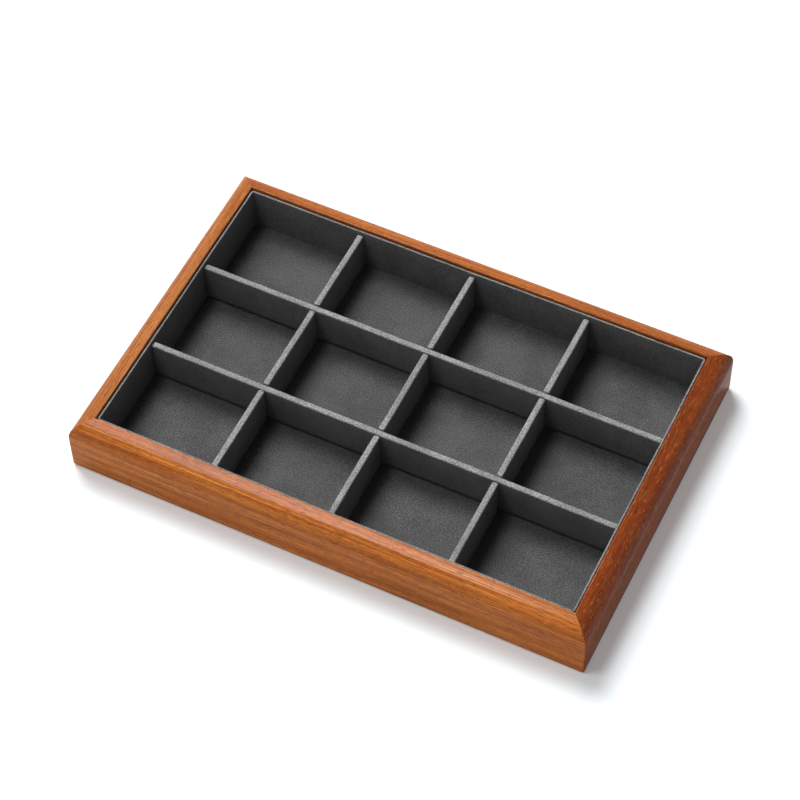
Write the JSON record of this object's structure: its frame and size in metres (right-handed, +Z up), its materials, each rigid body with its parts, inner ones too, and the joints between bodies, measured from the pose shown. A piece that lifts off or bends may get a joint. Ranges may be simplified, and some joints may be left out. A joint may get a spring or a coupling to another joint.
{
  "type": "jewelry display tray",
  "caption": "Flat wooden jewelry display tray: a mitred moulded frame around a lift-out suede-lined insert divided into open compartments.",
  "frame": {"origin": "middle of the underside, on the surface that the tray lies on", "axes": "+X along the length, +Y across the width from front to back, +Z up out of the compartments"},
  "size_m": [0.27, 0.18, 0.032],
  "materials": {
    "frame_wood": "red-brown stained hardwood under a satin lacquer",
    "tongue_wood": "bare hardwood",
    "base_fibreboard": "bare fibreboard",
    "staple_steel": "galvanised staple wire",
    "underside_felt": "short-pile felt",
    "card": "grey board",
    "suede": "dark grey microfibre suede with a short nap"
  },
  "bodies": {
    "frame": {"base_board": "base_fibreboard", "base_staples": "staple_steel", "mitre_tongue_back_left": "tongue_wood", "mitre_tongue_back_right": "tongue_wood", "mitre_tongue_front_left": "tongue_wood", "mitre_tongue_front_right": "tongue_wood", "rail_back": "frame_wood", "rail_front": "frame_wood", "rail_left": "frame_wood", "rail_right": "frame_wood", "underside_felt": "underside_felt"},
    "insert": {"cross_divider_core_1_1": "card", "cross_divider_core_1_2": "card", "cross_divider_core_1_3": "card", "cross_divider_core_2_1": "card", "cross_divider_core_2_2": "card", "cross_divider_core_2_3": "card", "cross_divider_core_3_1": "card", "cross_divider_core_3_2": "card", "cross_divider_core_3_3": "card", "cross_divider_cover_1_1": "suede", "cross_divider_cover_1_2": "suede", "cross_divider_cover_1_3": "suede", "cross_divider_cover_2_1": "suede", "cross_divider_cover_2_2": "suede", "cross_divider_cover_2_3": "suede", "cross_divider_cover_3_1": "suede", "cross_divider_cover_3_2": "suede", "cross_divider_cover_3_3": "suede", "floor_cover": "suede", "insert_floor_card": "card", "long_divider_core_back": "card", "long_divider_core_front": "card", "long_divider_cover_back": "suede", "long_divider_cover_front": "suede", "wall_card_back": "card", "wall_card_front": "card", "wall_card_left": "card", "wall_card_right": "card", "wall_cover_back": "suede", "wall_cover_front": "suede", "wall_cover_left": "suede", "wall_cover_right": "suede"}
  },
  "joints": [
    {"name": "insert_lift", "type": "slide", "parent": "frame", "child": "insert", "axis": [0, 0, 1], "range_m": [0, 0.03]}
  ]
}
